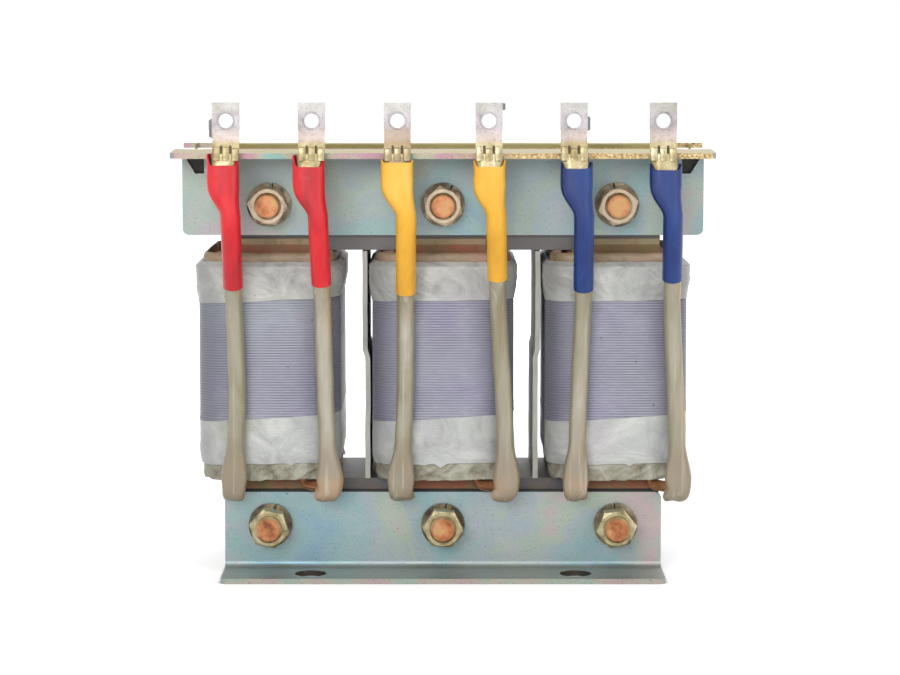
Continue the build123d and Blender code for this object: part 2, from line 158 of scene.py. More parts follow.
def lead_coil(lead):
    return lead.split("_")[0]


def lead_x(lead, step):
    """Where a lead lies across the object at one step of its route."""
    return COIL_CENTRES[lead_coil(lead)] + lead_side(lead) * (HALF_LEG + LEAD_ROUTES[lead][step])


# Node materials

class Nodes:
    """A material under construction, with short calls for the nodes that it needs."""

    def __init__(self, name):
        self.material = bpy.data.materials.new(name)
        self.material.use_nodes = True
        self.tree = self.material.node_tree
        self.tree.nodes.clear()
        self.output = self.tree.nodes.new("ShaderNodeOutputMaterial")
        self.shader = self.tree.nodes.new("ShaderNodeBsdfPrincipled")
        self.link(self.shader.outputs[0], self.output.inputs[0])
        self.place = self.tree.nodes.new("ShaderNodeTexCoord").outputs["Object"]
        self.height = None

    def link(self, source, target):
        self.tree.links.new(source, target)

    def feed(self, value, socket):
        if isinstance(value, bpy.types.NodeSocket):
            self.link(value, socket)
        else:
            socket.default_value = value

    def math(self, operation, *values):
        node = self.tree.nodes.new("ShaderNodeMath")
        node.operation = operation
        for value, socket in zip(values, node.inputs):
            self.feed(value, socket)
        return node.outputs[0]

    def axis(self, letter):
        node = self.tree.nodes.new("ShaderNodeSeparateXYZ")
        self.link(self.place, node.inputs[0])
        return node.outputs[letter]

    def normal(self, letter):
        geometry = self.tree.nodes.new("ShaderNodeNewGeometry")
        node = self.tree.nodes.new("ShaderNodeSeparateXYZ")
        self.link(geometry.outputs["Normal"], node.inputs[0])
        return node.outputs[letter]

    def coil_offset(self):
        """The distance across from the middle of the nearest coil."""
        return self.math("WRAP", self.axis("X"), COIL_PITCH / 2 * MM, -COIL_PITCH / 2 * MM)

    def lug_offset(self):
        """The distance across from the middle of the nearest lug."""
        nearest = 1.0
        for lead in LEAD_ROUTES:
            offset = self.math("ABSOLUTE", self.math("SUBTRACT", self.axis("X"), lead_x(lead, LUG) * MM))
            nearest = self.math("MINIMUM", nearest, offset)
        return nearest

    def painted_corner_shade(self):
        """0 over the middle of a coil, 1 at its left and right corners, where the tapes and paper are given
        painted shade.
        """
        return self.step(self.math("ABSOLUTE", self.coil_offset()), 0.009, 0.031)

    def upper_half(self):
        """0 on the lower brackets and bolts, 1 on the upper ones."""
        return self.step(self.axis("Z"), 0.10, 0.12)

    def reach(self, run, rise):
        """The distance whose two parts are run and rise."""
        squares = [self.math("POWER", part, 2.0) for part in (run, rise)]
        return self.math("SQRT", self.math("ADD", *squares))

    def scaled(self, x, y, z):
        node = self.tree.nodes.new("ShaderNodeMapping")
        self.link(self.place, node.inputs["Vector"])
        node.inputs["Scale"].default_value = (x, y, z)
        return node.outputs[0]

    def noise(self, scale, detail=4.0, rough=0.55, stretch=None, distortion=0.0):
        node = self.tree.nodes.new("ShaderNodeTexNoise")
        self.link(self.scaled(*stretch) if stretch else self.place, node.inputs["Vector"])
        node.inputs["Scale"].default_value = scale
        node.inputs["Detail"].default_value = detail
        node.inputs["Roughness"].default_value = rough
        node.inputs["Distortion"].default_value = distortion
        return node.outputs["Fac"]

    def spots(self, scale):
        """The distance from the nearest of many scattered points."""
        node = self.tree.nodes.new("ShaderNodeTexVoronoi")
        self.link(self.place, node.inputs["Vector"])
        node.inputs["Scale"].default_value = scale
        return node.outputs["Distance"]

    def ramp(self, value, *stops):
        node = self.tree.nodes.new("ShaderNodeValToRGB")
        self.link(value, node.inputs[0])
        elements = node.color_ramp.elements
        while len(elements) < len(stops):
            elements.new(0.5)
        for element, (place, colour) in zip(elements, stops):
            element.position = place
            element.color = (*colour, 1.0) if isinstance(colour, tuple) else (colour, colour, colour, 1.0)
        return node.outputs[0]

    def step(self, value, low, high):
        """0 below low, 1 above high, smooth between them."""
        node = self.tree.nodes.new("ShaderNodeMapRange")
        node.interpolation_type = "SMOOTHSTEP"
        self.link(value, node.inputs["Value"])
        node.inputs["From Min"].default_value = low
        node.inputs["From Max"].default_value = high
        return node.outputs[0]

    def near(self, value, centre, far, close):
        """1 where value is within close of centre, 0 where it is further than far, smooth between them."""
        return self.step(self.math("ABSOLUTE", self.math("SUBTRACT", value, centre)), far, close)

    def mix(self, share, first, second):
        node = self.tree.nodes.new("ShaderNodeMix")
        node.data_type = "RGBA"
        self.feed(share, node.inputs[0])
        for value, socket in ((first, node.inputs[6]), (second, node.inputs[7])):
            self.feed((*value, 1.0) if isinstance(value, tuple) else value, socket)
        return node.outputs[2]

    def stain(self, base, place, strength, colour):
        """Lays colour over base where place is 1, at a strength of 0 to 1."""
        return self.mix(self.math("MULTIPLY", place, strength), base, colour)

    def colour(self, value):
        self.feed((*value, 1.0) if isinstance(value, tuple) else value, self.shader.inputs["Base Color"])

    def set(self, **values):
        for name, value in values.items():
            self.feed(value, self.shader.inputs[name.replace("_", " ")])

    def bump(self, height, distance, strength=1.0):
        """Adds a layer of relief, distance metres high."""
        node = self.tree.nodes.new("ShaderNodeBump")
        node.inputs["Distance"].default_value = distance
        node.inputs["Strength"].default_value = strength
        self.link(height, node.inputs["Height"])
        if self.height is not None:
            self.link(self.height, node.inputs["Normal"])
        self.height = node.outputs[0]
        self.link(self.height, self.shader.inputs["Normal"])


def zinc_plate():
    """Bent sheet with a passivated zinc coat: mottled on its webs, gold on top, pastel on its cut edges."""
    m = Nodes("zinc_plate")
    clouds = m.noise(17.0, 4.0, 0.6, distortion=1.0)
    patches = m.noise(38.0, 4.0, 0.6)
    grain = m.noise(900.0, 2.0, 0.6)
    height = m.axis("Z")
    above = m.upper_half()
    web = m.ramp(clouds, (0.30, (0.22, 0.34, 0.44)), (0.41, (0.26, 0.39, 0.39)), (0.50, (0.32, 0.37, 0.40)),
                 (0.58, (0.34, 0.41, 0.34)), (0.66, (0.44, 0.35, 0.37)), (0.75, (0.42, 0.40, 0.28)))
    web = m.stain(web, m.step(patches, 0.55, 0.72), 0.35, (0.50, 0.44, 0.50))
    web = m.stain(web, above, 0.30, (0.20, 0.27, 0.27))
    gold = m.ramp(patches, (0.3, (0.25, 0.20, 0.06)), (0.55, (0.35, 0.28, 0.10)), (0.75, (0.32, 0.27, 0.13)))
    foot = m.ramp(patches, (0.3, (0.24, 0.27, 0.24)), (0.7, (0.34, 0.36, 0.33)))
    up = m.step(m.math("ABSOLUTE", m.normal("Z")), 0.5, 0.9)
    back_bend = m.math("MULTIPLY", m.step(height, 0.1855, 0.1870), m.step(m.axis("Y"), 0.0, 0.01))
    base = m.mix(m.math("MAXIMUM", up, back_bend), web, m.mix(above, foot, gold))
    tint = m.noise(70.0, 2.0, 0.5)
    pastel = m.ramp(tint, (0.36, (0.20, 0.36, 0.31)), (0.47, (0.38, 0.34, 0.25)), (0.60, (0.40, 0.23, 0.27)))
    pastel = m.stain(pastel, m.step(height, 0.12, 0.10), 0.55, (0.36, 0.36, 0.32))
    pastel = m.stain(pastel, m.step(grain, 0.50, 0.36), 0.30, (0.22, 0.19, 0.16))
    golden = m.ramp(grain, (0.35, (0.24, 0.14, 0.05)), (0.5, (0.47, 0.33, 0.15)), (0.68, (0.70, 0.58, 0.34)))
    right = m.math("MULTIPLY", above, m.step(m.axis("X"), 0.0, 0.04))
    edge = m.mix(right, pastel, golden)
    in_foot = m.step(height, 0.0032, 0.0024)
    in_flange = m.step(height, 0.1903, 0.1911)
    sideways = m.math("MAXIMUM", m.step(m.math("ABSOLUTE", m.normal("Y")), 0.8, 0.95),
                      m.step(m.math("ABSOLUTE", m.normal("X")), 0.8, 0.95))
    base = m.mix(m.math("MULTIPLY", m.math("MAXIMUM", in_foot, in_flange), sideways), base, edge)
    hole_x = m.math("SUBTRACT", m.math("ABSOLUTE", m.axis("X")), FOOT_HOLE_PLACE[0] * MM)
    hole_y = m.math("SUBTRACT", m.math("ABSOLUTE", m.axis("Y")), FOOT_HOLE_PLACE[1] * MM)
    wall_radius = FOOT_HOLE_RADIUS * MM
    in_hole = m.step(m.reach(hole_x, hole_y), wall_radius + 0.0004, wall_radius + 0.0001)
    # Painted shade: the walls of the foot holes are painted near black, as the shade inside them
    painted_hole_shade = m.math("MULTIPLY", in_hole, m.step(height, 0.0032, 0.0028))
    base = m.mix(painted_hole_shade, base, (0.05, 0.042, 0.03))
    base = m.stain(base, m.step(grain, 0.42, 0.30), 0.45, (0.16, 0.16, 0.14))
    specks = m.step(m.spots(160.0), 0.10, 0.04)
    rare = m.step(m.noise(60.0, 2.0, 0.5), 0.60, 0.68)
    base = m.mix(m.math("MULTIPLY", specks, m.math("MULTIPLY", rare, 0.8)), base, (0.07, 0.065, 0.05))
    m.colour(base)
    m.set(Metallic=0.5, Roughness=m.ramp(patches, (0.3, 0.36), (0.7, 0.52)))
    m.bump(grain, 0.00008)
    m.bump(m.noise(30.0, 3.0, 0.5), 0.0004, 0.5)
    return m.material


def core_steel():
    """Edges of stacked laminations, grey above and browner below."""
    m = Nodes("core_steel")
    sheets = m.noise(1.0, 2.0, 0.7, stretch=(6.0, 1900.0, 6.0))
    base = m.ramp(sheets, (0.3, (0.045, 0.043, 0.046)), (0.5, (0.115, 0.108, 0.110)),
                  (0.7, (0.21, 0.20, 0.20)))
    bloom = m.step(m.noise(45.0, 5.0, 0.65), 0.48, 0.66)
    low = m.step(m.axis("Z"), 0.10, 0.05)
    share = m.math("MULTIPLY", bloom, m.math("MULTIPLY_ADD", low, 0.45, 0.25))
    base = m.mix(share, base, (0.18, 0.125, 0.055))
    m.colour(base)
    m.set(Metallic=0.35, Roughness=m.ramp(sheets, (0.3, 0.42), (0.7, 0.62)))
    m.bump(sheets, 0.00025, 0.7)
    return m.material


def black_board():
    m = Nodes("black_board")
    fibres = m.noise(260.0, 5.0, 0.6, stretch=(1.0, 1.0, 3.0))
    m.colour(m.ramp(fibres, (0.35, (0.012, 0.012, 0.012)), (0.7, (0.04, 0.038, 0.035))))
    m.set(Roughness=0.6)
    m.bump(fibres, 0.00008)
    return m.material


def gap_board():
    m = Nodes("gap_board")
    grain = m.noise(300.0, 4.0, 0.6)
    m.colour(m.ramp(grain, (0.35, (0.50, 0.42, 0.24)), (0.7, (0.64, 0.56, 0.35))))
    m.set(Roughness=0.65)
    m.bump(grain, 0.00006)
    return m.material


def bolt_steel():
    """A coppery sawn end with faint rings, and a zinc-yellow shank."""
    m = Nodes("bolt_steel")
    blotch = m.noise(170.0, 4.0, 0.6)
    end = m.ramp(blotch, (0.32, (0.22, 0.07, 0.03)), (0.46, (0.42, 0.16, 0.06)), (0.58, (0.52, 0.25, 0.12)),
                 (0.70, (0.48, 0.32, 0.11)))
    shank = m.ramp(blotch, (0.3, (0.26, 0.20, 0.09)), (0.7, (0.52, 0.42, 0.24)))
    rises = [m.math("ABSOLUTE", m.math("SUBTRACT", m.axis("Z"), height * MM)) for height in BOLT_HEIGHTS]
    radius = m.reach(m.coil_offset(), m.math("MINIMUM", *rises))
    ring = m.near(radius, 0.0046, 0.0005, 0.0001)
    end = m.stain(end, ring, 0.55, (0.36, 0.14, 0.06))
    forward = m.step(m.normal("Y"), -0.55, -0.9)
    tip = m.step(m.axis("Y"), -0.0475, -0.0480)
    m.colour(m.mix(m.math("MULTIPLY", forward, tip), shank, end))
    m.set(Metallic=0.6, Roughness=m.ramp(blotch, (0.3, 0.32), (0.7, 0.50)))
    m.bump(m.noise(500.0, 3.0, 0.6), 0.00015)
    return m.material


def nut_steel():
    """Yellow zinc, with a pinkish bloom on the upper row."""
    m = Nodes("nut_steel")
    blotch = m.noise(150.0, 4.0, 0.6)
    base = m.ramp(blotch, (0.32, (0.13, 0.10, 0.05)), (0.48, (0.34, 0.29, 0.16)), (0.60, (0.46, 0.40, 0.24)),
                  (0.74, (0.62, 0.52, 0.40)))
    m.colour(m.stain(base, m.upper_half(), 0.45, (0.46, 0.34, 0.30)))
    m.set(Metallic=0.75, Roughness=m.ramp(blotch, (0.3, 0.22), (0.7, 0.40)))
    m.bump(m.noise(520.0, 3.0, 0.6), 0.00010)
    return m.material


def washer_steel():
    m = Nodes("washer_steel")
    blotch = m.noise(150.0, 4.0, 0.6)
    m.colour(m.ramp(blotch, (0.35, (0.06, 0.045, 0.035)), (0.55, (0.17, 0.14, 0.09)),
                    (0.72, (0.36, 0.30, 0.20))))
    m.set(Metallic=0.75, Roughness=0.32)
    m.bump(m.noise(400.0, 3.0, 0.6), 0.00010)
    return m.material


def tube_plastic():
    m = Nodes("tube_plastic")
    grain = m.noise(200.0, 3.0, 0.5)
    m.colour(m.ramp(grain, (0.3, (0.66, 0.63, 0.54)), (0.7, (0.74, 0.71, 0.62))))
    m.set(Roughness=0.45)
    m.bump(grain, 0.00004)
    return m.material


def pressboard():
    """Olive-brown board, reddish in places, with painted light making the tongue's upper part lighter."""
    m = Nodes("pressboard")
    fibres = m.noise(260.0, 5.0, 0.6, stretch=(1.0, 1.0, 0.5))
    tint = m.noise(45.0, 2.0, 0.5)
    base = m.ramp(tint, (0.34, (0.15, 0.11, 0.035)), (0.48, (0.21, 0.11, 0.045)),
                  (0.60, (0.26, 0.075, 0.035)), (0.72, (0.18, 0.15, 0.06)))
    # Painted light: the tongue's upper part is painted lighter, where more light falls on it
    light = m.step(m.axis("Z"), 0.1503, 0.1511)
    base = m.stain(base, light, 0.6, (0.33, 0.29, 0.17))
    base = m.stain(base, m.step(fibres, 0.5, 0.3), 0.4, (0.10, 0.065, 0.03))
    m.colour(base)
    m.set(Roughness=0.6)
    m.bump(fibres, 0.00012)
    return m.material


def winding_copper():
    """Enamelled turns, seen only from below and above."""
    m = Nodes("winding_copper")
    turns = m.math("SINE", m.math("MULTIPLY", m.axis("Z"), 2 * math.pi / 0.0024))
    m.colour(m.ramp(m.noise(90.0, 3.0, 0.5), (0.3, (0.32, 0.11, 0.04)), (0.7, (0.50, 0.21, 0.09))))
    m.set(Metallic=0.6, Roughness=0.32)
    m.bump(turns, 0.0003)
    return m.material


def layer_paper():
    """Varnished paper, olive to pinkish tan, creased."""
    m = Nodes("layer_paper")
    creases = m.noise(55.0, 5.0, 0.62, distortion=1.2)
    base = m.ramp(creases, (0.28, (0.15, 0.10, 0.05)), (0.46, (0.27, 0.20, 0.12)),
                  (0.58, (0.36, 0.24, 0.17)), (0.74, (0.46, 0.37, 0.25)))
    tint = m.noise(38.0, 2.0, 0.5)
    base = m.stain(base, m.step(tint, 0.56, 0.66), 0.5, (0.42, 0.20, 0.15))
    base = m.stain(base, m.step(tint, 0.44, 0.34), 0.5, (0.26, 0.28, 0.17))
    m.colour(base)
    m.set(Roughness=0.45)
    m.bump(creases, 0.0012, 0.6)
    m.bump(m.noise(500.0, 3.0, 0.6), 0.00008)
    return m.material


def pearl_tape():
    """White glass-fibre tape with a pearly look, greyer in its folds and towards the coil's corners, all
    painted shade, with painted highlights on the fold crests.
    """
    m = Nodes("pearl_tape")
    folds = m.noise(44.0, 6.0, 0.62, distortion=1.8)
    threads = m.noise(1.0, 2.0, 0.6, stretch=(260.0, 260.0, 1500.0))
    # Painted shade and highlights: the colour follows the folds that the bump raises, grey in their hollows
    # and near white on their crests
    base = m.ramp(folds, (0.28, (0.30, 0.30, 0.29)), (0.44, (0.43, 0.44, 0.42)),
                  (0.56, (0.53, 0.54, 0.51)), (0.70, (0.66, 0.66, 0.62)), (0.78, (0.80, 0.80, 0.75)))
    low = m.step(m.axis("Z"), 0.10, 0.09)
    base = m.stain(base, low, 0.28, (0.64, 0.66, 0.67))
    tint = m.noise(26.0, 3.0, 0.5)
    base = m.stain(base, m.step(tint, 0.54, 0.68), 0.35, (0.52, 0.44, 0.53))
    base = m.stain(base, m.step(tint, 0.46, 0.32), 0.35, (0.50, 0.52, 0.38))
    # Painted shade towards the coil's left and right corners
    base = m.stain(base, m.painted_corner_shade(), 0.45, (0.24, 0.24, 0.24))
    specks = m.step(m.spots(90.0), 0.055, 0.03)
    base = m.stain(base, specks, 0.7, (0.10, 0.09, 0.09))
    m.colour(base)
    m.set(Roughness=m.ramp(folds, (0.3, 0.28), (0.7, 0.42)), Sheen_Weight=0.15)
    m.bump(threads, 0.0002, 0.7)
    m.bump(folds, 0.0022, 0.6)
    return m.material


def lavender_tape():
    """Ribbed tape over the turns, lavender grey, dark with painted shade in its grooves and towards the
    coil's corners, with painted highlights on its ribs.
    """
    m = Nodes("lavender_tape")
    clouds = m.noise(20.0, 4.0, 0.55, distortion=0.5)
    grain = m.noise(1.0, 3.0, 0.6, stretch=(160.0, 160.0, 1300.0))
    base = m.ramp(clouds, (0.32, (0.26, 0.24, 0.38)), (0.44, (0.29, 0.285, 0.37)), (0.56, (0.31, 0.31, 0.38)),
                  (0.72, (0.30, 0.33, 0.37)))
    base = m.stain(base, m.step(grain, 0.50, 0.75), 0.4, (0.50, 0.50, 0.56))
    rib = m.math("ABSOLUTE", m.math("SINE", m.math("MULTIPLY", m.axis("Z"), math.pi / (RIB_PITCH * MM))))
    # Painted shade in the grooves between the ribs
    painted_groove_shade = m.math("MULTIPLY", m.step(rib, 0.75, 0.15), m.step(m.noise(40.0, 3.0, 0.6), 0.30, 0.62))
    base = m.stain(base, painted_groove_shade, 0.8, (0.09, 0.085, 0.13))
    # Painted highlight along the crests of the ribs
    base = m.stain(base, m.step(rib, 0.90, 1.0), 0.30, (0.54, 0.53, 0.62))
    # Painted shade towards the coil's corners
    base = m.stain(base, m.painted_corner_shade(), 0.62, (0.09, 0.09, 0.12))
    specks = m.step(m.spots(90.0), 0.055, 0.03)
    base = m.stain(base, specks, 0.7, (0.05, 0.045, 0.06))
    m.colour(base)
    m.set(Roughness=0.42, Sheen_Weight=0.15)
    m.bump(grain, 0.0001, 0.8)
    return m.material


def skirt_paper():
    m = Nodes("skirt_paper")
    creases = m.noise(75.0, 6.0, 0.65, distortion=1.6)
    # Painted shade and highlights: the tone follows the creases that the bump raises, dark in their hollows
    # and light on their ridges
    base = m.ramp(creases, (0.28, (0.11, 0.09, 0.055)), (0.42, (0.27, 0.25, 0.18)),
                  (0.56, (0.38, 0.37, 0.29)), (0.70, (0.52, 0.52, 0.44)), (0.80, (0.78, 0.78, 0.66)))
    # Painted shade towards the coil's corners
    base = m.stain(base, m.painted_corner_shade(), 0.35, (0.20, 0.18, 0.15))
    m.colour(base)
    m.set(Roughness=0.38)
    m.bump(creases, 0.0018, 0.8)
    return m.material


def barrier_board():
    m = Nodes("barrier_board")
    fibres = m.noise(150.0, 5.0, 0.6, stretch=(1.0, 1.0, 0.3))
    m.colour(m.ramp(fibres, (0.3, (0.33, 0.33, 0.31)), (0.5, (0.44, 0.44, 0.40)), (0.72, (0.55, 0.54, 0.49))))
    m.set(Roughness=0.55)
    m.bump(fibres, 0.0001)
    return m.material


def lead_copper():
    m = Nodes("lead_copper")
    grain = m.noise(160.0, 3.0, 0.6)
    m.colour(m.ramp(grain, (0.3, (0.30, 0.12, 0.05)), (0.7, (0.52, 0.26, 0.13))))
    m.set(Metallic=0.7, Roughness=0.35)
    m.bump(grain, 0.0001)
    return m.material


def cream_sleeve():
    """Varnished glass-fibre sleeving: cream, with painted shade in olive along its sides, painted warm light
    on the sides facing right and painted highlights in lengthwise streaks, grey-brown at its flattened foot.
    """
    m = Nodes("cream_sleeve")
    braid = m.noise(1.0, 3.0, 0.6, stretch=(900.0, 900.0, 380.0))
    stains = m.noise(34.0, 4.0, 0.6, stretch=(1.0, 1.0, 0.4), distortion=0.6)
    base = m.ramp(stains, (0.30, (0.26, 0.21, 0.12)), (0.44, (0.35, 0.32, 0.23)),
                  (0.56, (0.42, 0.37, 0.29)), (0.70, (0.52, 0.49, 0.41)), (0.80, (0.68, 0.67, 0.60)))
    # Painted shade: the sides of the sleeve that face left and right are painted darker and olive
    side = m.step(m.math("ABSOLUTE", m.normal("X")), 0.45, 0.90)
    base = m.stain(base, side, 0.65, (0.27, 0.26, 0.14))
    # Painted warm light on the sides that face right
    painted_warm_light = m.math("MULTIPLY", m.step(m.normal("X"), 0.35, 0.80), m.step(m.noise(14.0, 2.0, 0.5), 0.46, 0.56))
    base = m.stain(base, painted_warm_light, 0.6, (0.52, 0.33, 0.14))
    foot = m.step(m.axis("Z"), 0.068, 0.052)
    base = m.stain(base, foot, 0.7, (0.30, 0.24, 0.165))
    end = m.math("MULTIPLY", m.step(m.axis("Z"), 0.050, 0.042), m.step(stains, 0.46, 0.60))
    base = m.stain(base, end, 0.6, (0.50, 0.31, 0.18))
    # Painted highlights: light lengthwise streaks
    painted_streak_highlights = m.noise(1.0, 2.0, 0.5, stretch=(420.0, 420.0, 14.0))
    base = m.stain(base, m.step(painted_streak_highlights, 0.56, 0.74), 0.35, (0.66, 0.64, 0.56))
    m.colour(base)
    m.set(Roughness=m.ramp(stains, (0.3, 0.26), (0.7, 0.40)))
    m.bump(braid, 0.00012, 0.6)
    m.bump(m.noise(90.0, 4.0, 0.6, stretch=(1.0, 1.0, 0.25)), 0.0008, 0.5)
    return m.material


def shrink_tube(name, dark, plain, light):
    """Heat-shrink, smooth and waxy, with faint lengthwise marks."""
    m = Nodes(name)
    marks = m.noise(60.0, 4.0, 0.6, stretch=(1.0, 1.0, 0.3), distortion=0.4)
    m.colour(m.ramp(marks, (0.25, dark), (0.5, plain), (0.78, light)))
    m.set(Roughness=m.ramp(marks, (0.3, 0.30), (0.7, 0.42)))
    m.bump(marks, 0.0006, 0.45)
    m.bump(m.noise(600.0, 2.0, 0.5), 0.00004)
    return m.material


def tinned_copper():
    """Tin plate, pale pinkish grey, with a painted yellow reflection at the crimp, painted shade in the
    crimp's slots and beside the palm, and a brown stain on one palm.
    """
    m = Nodes("tinned_copper")
    stains = m.noise(75.0, 5.0, 0.62, distortion=0.6)
    rolling = m.noise(1.0, 2.0, 0.6, stretch=(1400.0, 300.0, 90.0))
    grain = m.noise(800.0, 2.0, 0.6)
    base = m.ramp(stains, (0.30, (0.20, 0.17, 0.15)), (0.42, (0.32, 0.29, 0.29)),
                  (0.54, (0.41, 0.38, 0.40)), (0.70, (0.50, 0.47, 0.50)))
    base = m.stain(base, m.step(m.axis("Z"), 0.2105, 0.2130), 0.35, (0.44, 0.45, 0.36))
    base = m.stain(base, m.step(m.axis("Z"), 0.2060, 0.2010), 0.5, (0.60, 0.47, 0.40))
    # Painted reflection: the crimp's lower part is painted golden yellow
    crimp = m.ramp(stains, (0.34, (0.25, 0.18, 0.08)), (0.48, (0.42, 0.35, 0.19)), (0.64, (0.56, 0.50, 0.32)))
    base = m.mix(m.step(m.axis("Z"), 0.2005, 0.1975), base, crimp)
    third = m.near(m.axis("X"), lead_x("middle_start", LUG) * MM, 0.009, 0.006)
    stained = m.math("MULTIPLY", third, m.step(m.axis("Z"), 0.2075, 0.2025))
    base = m.stain(base, stained, 0.55, (0.30, 0.21, 0.13))
    base = m.stain(base, m.step(grain, 0.45, 0.32), 0.4, (0.20, 0.18, 0.16))
    across = m.lug_offset()
    # Painted shade in the slots between the crimp's tongues
    slot = m.near(across, TONGUE_PITCH / 2 * MM, 0.0007, 0.0004)
    middle = m.near(m.axis("Z"), TONGUE_SLOT_HEIGHT * MM, 0.0022, 0.0015)
    base = m.mix(m.math("MULTIPLY", slot, middle), base, (0.07, 0.05, 0.025))
    # Painted shade beside the palm, on its edges and on the tabs
    half_palm = PALM_WIDTH / 2 * MM
    base = m.stain(base, m.step(across, half_palm, half_palm + 0.0003), 0.85, (0.09, 0.09, 0.10))
    m.colour(base)
    m.set(Metallic=0.7, Roughness=m.ramp(stains, (0.3, 0.46), (0.7, 0.32)))
    m.bump(rolling, 0.00005, 0.6)
    m.bump(m.noise(140.0, 3.0, 0.5), 0.0002, 0.4)
    return m.material


MATERIALS = {
    "core_steel": core_steel(),
    "gap_board": gap_board(),
    "zinc_plate": zinc_plate(),
    "black_board": black_board(),
    "bolt_steel": bolt_steel(),
    "nut_steel": nut_steel(),
    "washer_steel": washer_steel(),
    "tube_plastic": tube_plastic(),
    "pressboard": pressboard(),
    "winding_copper": winding_copper(),
    "layer_paper": layer_paper(),
    "pearl_tape": pearl_tape(),
    "lavender_tape": lavender_tape(),
    "skirt_paper": skirt_paper(),
    "barrier_board": barrier_board(),
    "lead_copper": lead_copper(),
    "cream_sleeve": cream_sleeve(),
    "red_shrink": shrink_tube(
        "red_shrink", (0.42, 0.008, 0.014), (0.72, 0.012, 0.022), (0.82, 0.045, 0.045)),
    "yellow_shrink": shrink_tube(
        "yellow_shrink", (0.72, 0.34, 0.02), (0.90, 0.47, 0.035), (0.94, 0.60, 0.12)),
    "blue_shrink": shrink_tube(
        "blue_shrink", (0.002, 0.014, 0.085), (0.004, 0.028, 0.17), (0.012, 0.07, 0.28)),
    "tinned_copper": tinned_copper(),
}


def dress_nodes():
    """Give every node of the model the material of its slot."""
    slots = {row["node"]: row["material_slot"] for row in frame["record"]["subparts"]}
    for name, node in frame["nodes"].items():
        material = MATERIALS[slots[name]]
        if not node.material_slots:
            node.data.materials.append(material)
        for slot in node.material_slots:
            slot.material = material


# Forms, in millimetres

def smooth(value, low, high):
    """0 at low, 1 at high, smooth between them."""
    share = min(max((value - low) / (high - low), 0.0), 1.0)
    return share * share * (3.0 - 2.0 * share)


def wander(x, y, z, size, seed):
    """A soft random value from -1 to 1 that changes over about size millimetres."""
    return noise.noise(Vector((x / size + seed, y / size - seed, z / size + 0.5 * seed)))


def creases(x, y, z, seed, lean, width):
    """Sharp ridges across the tape, from 0 between them to 1 on their crests."""
    along = x + 0.8 * y
    across = z * math.cos(lean) - along * math.sin(lean)
    run = along * math.cos(lean) + z * math.sin(lean)
    value = noise.noise(Vector((run / (4.5 * width), across / width, seed)))
    return max(0.0, 1.0 - abs(value) * 3.2)


def make_piece(name, slot, points, faces, replaces=()):
    """A mesh piece from points in millimetres, smooth apart from its sharp edges."""
    mesh = bpy.data.meshes.new(name)
    mesh.from_pydata([Vector(point) * MM for point in points], [], faces)
    mesh.validate()
    mesh.polygons.foreach_set("use_smooth", [True] * len(mesh.polygons))
    mesh.set_sharp_from_angle(angle=math.radians(55.0))
    mesh.materials.append(MATERIALS[slot])
    piece = bpy.data.objects.new(name, mesh)
    bpy.context.collection.objects.link(piece)
    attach(piece, "root")
    if replaces:
        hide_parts(*replaces)


def joined_rings(rings, closed):
    """Points and faces of rings of points. closed joins the last to the first, otherwise both are capped."""
    count = len(rings[0])
    points = [point for ring in rings for point in ring]
    faces = []
    for row in range(len(rings) if closed else len(rings) - 1):
        low = row * count
        high = (row + 1) % len(rings) * count
        for column in range(count):
            following = (column + 1) % count
            faces.append((low + column, low + following, high + following, high + column))
    if not closed:
        faces.append(tuple(reversed(range(count))))
        faces.append(tuple(range(len(points) - count, len(points))))
    return points, faces


def merged(forms):
    """The points and faces of several forms as one list of each."""
    points = []
    faces = []
    for more_points, more_faces in forms:
        faces += [tuple(len(points) + corner for corner in face) for face in more_faces]
        points += more_points
    return points, faces


def coil_loop():
    """Places round the coil's outline, each with its outward direction, from the left end of the front."""
    side_steps = 44
    corner_steps = 14
    corner = BAND_BUILD - 0.5
    half = (HALF_LEG + BAND_BUILD, HALF_STACK + BAND_BUILD)
    out = Vector((0.0, -1.0))
    along = Vector((1.0, 0.0))
    places = []
    for side in range(4):
        reach = half[(side + 1) % 2]
        flat = half[side % 2] - corner
        for step in range(side_steps):
            places.append((out * reach + along * flat * (2.0 * step / side_steps - 1.0), out))
        for step in range(corner_steps):
            angle = math.pi / 2.0 * step / corner_steps
            direction = out * math.cos(angle) + along * math.sin(angle)
            places.append((out * (reach - corner) + along * flat + direction * corner, direction))
        out, along = along, -out
    bowed = []
    for place, direction in places:
        bow = CROWN * (1.0 - (place.x / half[0]) ** 2)
        bowed.append((place.x, place.y + math.copysign(bow, place.y), direction.x, direction.y))
    return bowed


COIL_LOOP = coil_loop()


def tuck(direction_x, direction_y, z):
    """How far the wrapping is drawn in at the lower left corner of the front."""
    corner = max(0.0, -0.7 * direction_x - 0.7 * direction_y)
    return TUCK_DEPTH * corner ** 2 * smooth(TUCK_TOP - z, 0.0, TUCK_RISE)


